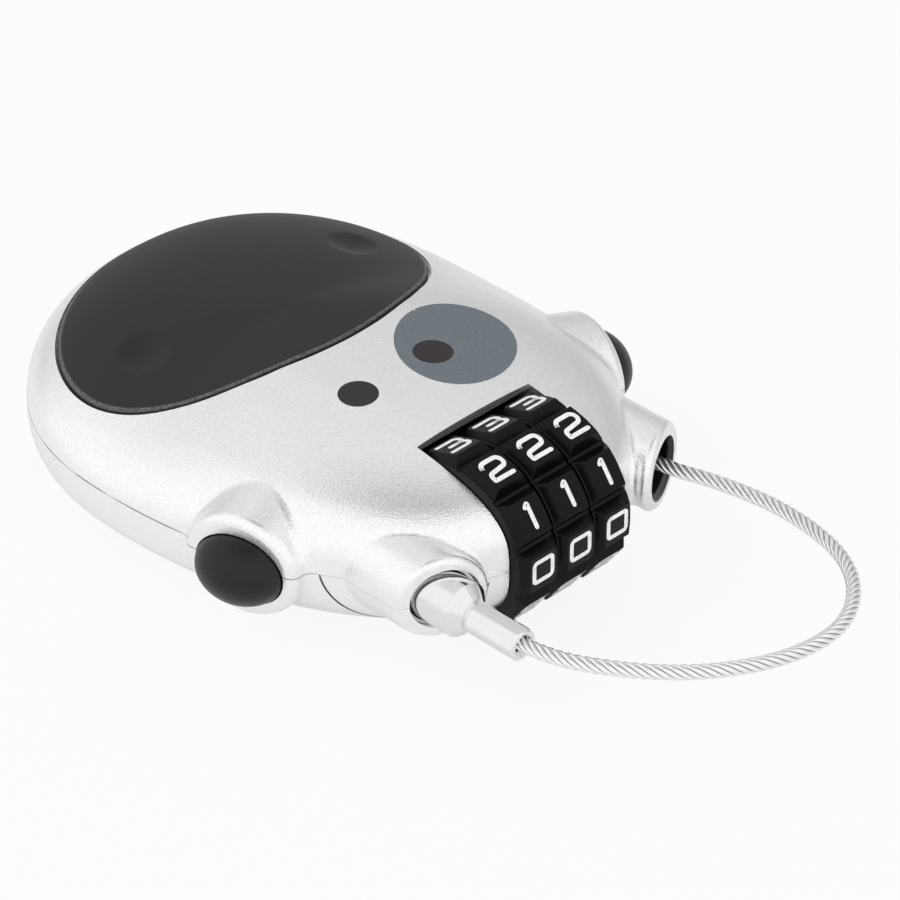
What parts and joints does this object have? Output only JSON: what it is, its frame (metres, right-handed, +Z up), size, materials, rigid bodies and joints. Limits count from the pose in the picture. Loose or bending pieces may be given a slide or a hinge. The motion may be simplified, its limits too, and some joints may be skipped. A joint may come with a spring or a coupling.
{
  "type": "laptop cable lock",
  "caption": "Pocket cable lock with number dials, a loop of steel cable on a spring-wound spool, an end pin in its socket and side buttons.",
  "frame": {"origin": "centre of the base plane, under the middle of the case, without the free cable and its end pin", "axes": "+X along the dial axle towards the cable port, +Y from the dials towards the grip pad, +Z up"},
  "size_m": [0.0684, 0.1126, 0.0233],
  "materials": {
    "silver_paint": "satin, fine sparkle",
    "grip_rubber": "matt",
    "dial_plastic": "gloss, white digits",
    "button_plastic": "fine texture",
    "tumbler_brass": "turned",
    "turned_steel": "turned",
    "spring_steel": "bright",
    "bright_steel": "polished",
    "cable_steel": "stranded",
    "black_plastic": "matt",
    "spool_plastic": "satin",
    "washer_plastic": "satin"
  },
  "bodies": {
    "case": {"top_shell": "silver_paint", "bottom_shell": "silver_paint", "grip_pad": "grip_rubber", "dial_shroud": "black_plastic", "dial_washers": "washer_plastic", "detent_spring": "spring_steel", "socket_bush": "bright_steel", "port_bush": "black_plastic", "cable_guide": "black_plastic", "spool_axle": "turned_steel", "spool_clip": "spring_steel", "lever_pin": "turned_steel", "case_screws": "turned_steel", "release_spring": "spring_steel", "rewind_spring": "spring_steel", "spindle_spring": "spring_steel", "latch_spring": "spring_steel", "brake_spring": "spring_steel"},
    "dial_left": {"dial_left": "dial_plastic", "tumbler_left": "tumbler_brass"},
    "dial_middle": {"dial_middle": "dial_plastic", "tumbler_middle": "tumbler_brass"},
    "dial_right": {"dial_right": "dial_plastic", "tumbler_right": "tumbler_brass"},
    "release_button": {"release_button": "button_plastic"},
    "rewind_button": {"rewind_button": "button_plastic"},
    "spindle": {"code_spindle": "turned_steel"},
    "arm": {"release_arm": "spring_steel"},
    "brake": {"brake_lever": "spring_steel"},
    "cable": {"lock_pin": "bright_steel", "crimp_sleeve": "bright_steel", "cable_loop": "cable_steel", "cable_lead": "cable_steel"},
    "spool": {"spool": "spool_plastic", "spool_cover": "spool_plastic", "cable_winding": "cable_steel", "mainspring": "spring_steel"}
  },
  "joints": [
    {"name": "dial_left_spin", "type": "hinge", "parent": "case", "child": "dial_left", "pos_m": [0, -0.029, 0.0116], "axis": [1, 0, 0], "continuous": true, "deforming": ["detent_spring"]},
    {"name": "dial_middle_spin", "type": "hinge", "parent": "case", "child": "dial_middle", "pos_m": [0, -0.029, 0.0116], "axis": [1, 0, 0], "continuous": true, "deforming": ["detent_spring"]},
    {"name": "dial_right_spin", "type": "hinge", "parent": "case", "child": "dial_right", "pos_m": [0, -0.029, 0.0116], "axis": [1, 0, 0], "continuous": true, "deforming": ["detent_spring"]},
    {"name": "release_press", "type": "slide", "parent": "case", "child": "release_button", "axis": [0.9613, 0.2756, 0], "range_m": [0, 0.0018], "stiffness_N_per_m": 500, "springref_m": -0.002, "deforming": ["release_spring", "spindle_spring", "latch_spring"]},
    {"name": "spindle_slide", "type": "slide", "parent": "case", "child": "spindle", "axis": [1, 0, 0], "range_m": [0, 0.0017]},
    {"name": "arm_slide", "type": "slide", "parent": "case", "child": "arm", "axis": [1, 0, 0], "range_m": [0, 0.0017]},
    {"name": "rewind_press", "type": "slide", "parent": "case", "child": "rewind_button", "axis": [-0.9613, 0.2756, 0], "range_m": [0, 0.0018], "stiffness_N_per_m": 500, "springref_m": -0.002, "deforming": ["rewind_spring", "brake_spring"]},
    {"name": "brake_swing", "type": "hinge", "parent": "case", "child": "brake", "pos_m": [0.0235, -0.0045, 0.0078], "axis": [0, 0, 1], "range_deg": [-11.5, 0]},
    {"name": "pin_pull", "type": "slide", "parent": "case", "child": "cable", "axis": [0, -1, 0], "range_m": [0, 0.04], "deforming": ["latch_spring"]},
    {"name": "spool_spin", "type": "hinge", "parent": "case", "child": "spool", "pos_m": [0, 0.011, 0.0116], "axis": [0, 0, 1], "range_deg": [-125.5, 0]}
  ],
  "couplings": [
    {"joint": "spindle_slide", "follows": "release_press", "ratio": 0.8889},
    {"joint": "arm_slide", "follows": "release_press", "ratio": 0.8889},
    {"joint": "brake_swing", "follows": "rewind_press", "rad_per_m": -106.6},
    {"joint": "spool_spin", "follows": "pin_pull", "rad_per_m": -54.64}
  ]
}
